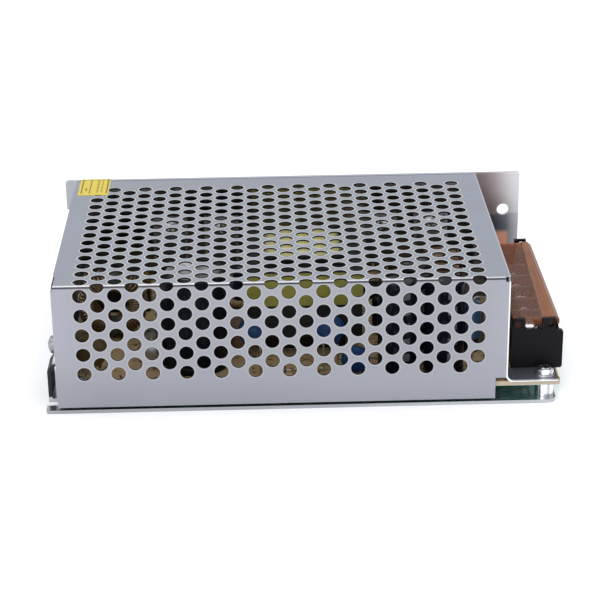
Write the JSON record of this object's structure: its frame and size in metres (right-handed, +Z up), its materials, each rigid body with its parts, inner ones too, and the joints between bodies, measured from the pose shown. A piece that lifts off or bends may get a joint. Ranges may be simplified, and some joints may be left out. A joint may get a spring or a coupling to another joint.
{
  "type": "mesh case switching power supply",
  "caption": "Switching power supply in a folded metal case with a perforated cover, mounting ears, and a screw terminal strip under a hinged flap.",
  "frame": {"origin": "middle of the chassis on its underside", "axes": "+X along the case to the terminals, +Y from the perforated side to the tall wall, +Z up"},
  "size_m": [0.1618, 0.0961, 0.0429],
  "materials": {
    "chassis_metal": "rolled, satin",
    "cover_metal": "faintly brushed",
    "label_paper": "smooth",
    "board": "satin",
    "bright_metal": "bright plated",
    "dark_steel": "plated",
    "black_plastic": "moulded",
    "plated_brass": "tin plated",
    "amber_plastic": "clear, smooth",
    "capacitor_can": "satin",
    "black_sleeve": "shrunk film",
    "ferrite": "ground",
    "copper_wire": "enamelled",
    "dark_case": "moulded",
    "black_epoxy": "moulded",
    "fuse_glass": "clear",
    "fuse_metal": "plated",
    "green_disc": "dipped",
    "blue_disc": "dipped",
    "blue_resistor": "lacquered",
    "red_film": "dipped",
    "grey_pad": "smooth",
    "yellow_tape": "film",
    "black_bobbin": "moulded",
    "powder_core": "painted",
    "red_wire": "enamelled",
    "tan_resistor": "lacquered",
    "trimmer_blue": "moulded",
    "white_plastic": "moulded",
    "lamp_lens": "clear"
  },
  "bodies": {
    "case": {"chassis": "chassis_metal", "mesh_cover": "cover_metal", "seal_label": "label_paper", "circuit_board": "board", "standoffs": "bright_metal", "board_screws": "bright_metal", "foot_screw": "bright_metal", "flat_washer": "bright_metal", "spring_washer": "dark_steel", "tab_screw": "bright_metal", "terminal_block": "black_plastic", "terminal_plates": "plated_brass", "terminal_clamps": "bright_metal", "terminal_screws": "bright_metal", "bulk_capacitor": "capacitor_can", "bulk_sleeve": "black_sleeve", "input_choke_core": "ferrite", "input_choke_windings": "copper_wire", "filter_capacitor": "dark_case", "bridge_rectifier": "black_epoxy", "fuse_glass": "fuse_glass", "fuse_caps": "fuse_metal", "fuse_clips": "plated_brass", "thermistor": "green_disc", "disc_capacitors": "blue_disc", "power_resistors": "blue_resistor", "film_capacitors": "red_film", "switch_transistors": "black_epoxy", "output_rectifiers": "black_epoxy", "insulating_pads": "grey_pad", "wall_screws": "bright_metal", "drive_core": "ferrite", "drive_coil": "yellow_tape", "main_core": "ferrite", "main_bobbin": "black_bobbin", "main_coil": "yellow_tape", "main_core_tape": "yellow_tape", "output_choke_core": "powder_core", "output_choke_winding": "red_wire", "output_capacitors": "capacitor_can", "output_sleeves": "black_sleeve", "small_capacitors": "capacitor_can", "small_sleeves": "black_sleeve", "control_chip": "black_epoxy", "small_resistors": "tan_resistor", "signal_diodes": "black_epoxy", "trimmer_body": "trimmer_blue", "lamp": "lamp_lens"},
    "flap": {"terminal_flap": "amber_plastic"},
    "trimmer": {"trimmer_rotor": "white_plastic"}
  },
  "joints": [
    {"name": "flap_hinge", "type": "hinge", "parent": "case", "child": "flap", "pos_m": [0.068, -0.004, 0.0223], "axis": [0, -1, 0], "range_deg": [0, 90]},
    {"name": "trimmer_turn", "type": "hinge", "parent": "case", "child": "trimmer", "pos_m": [0.0702, 0.0384, 0.0124], "axis": [0, 0, 1], "range_deg": [-120, 120]}
  ]
}
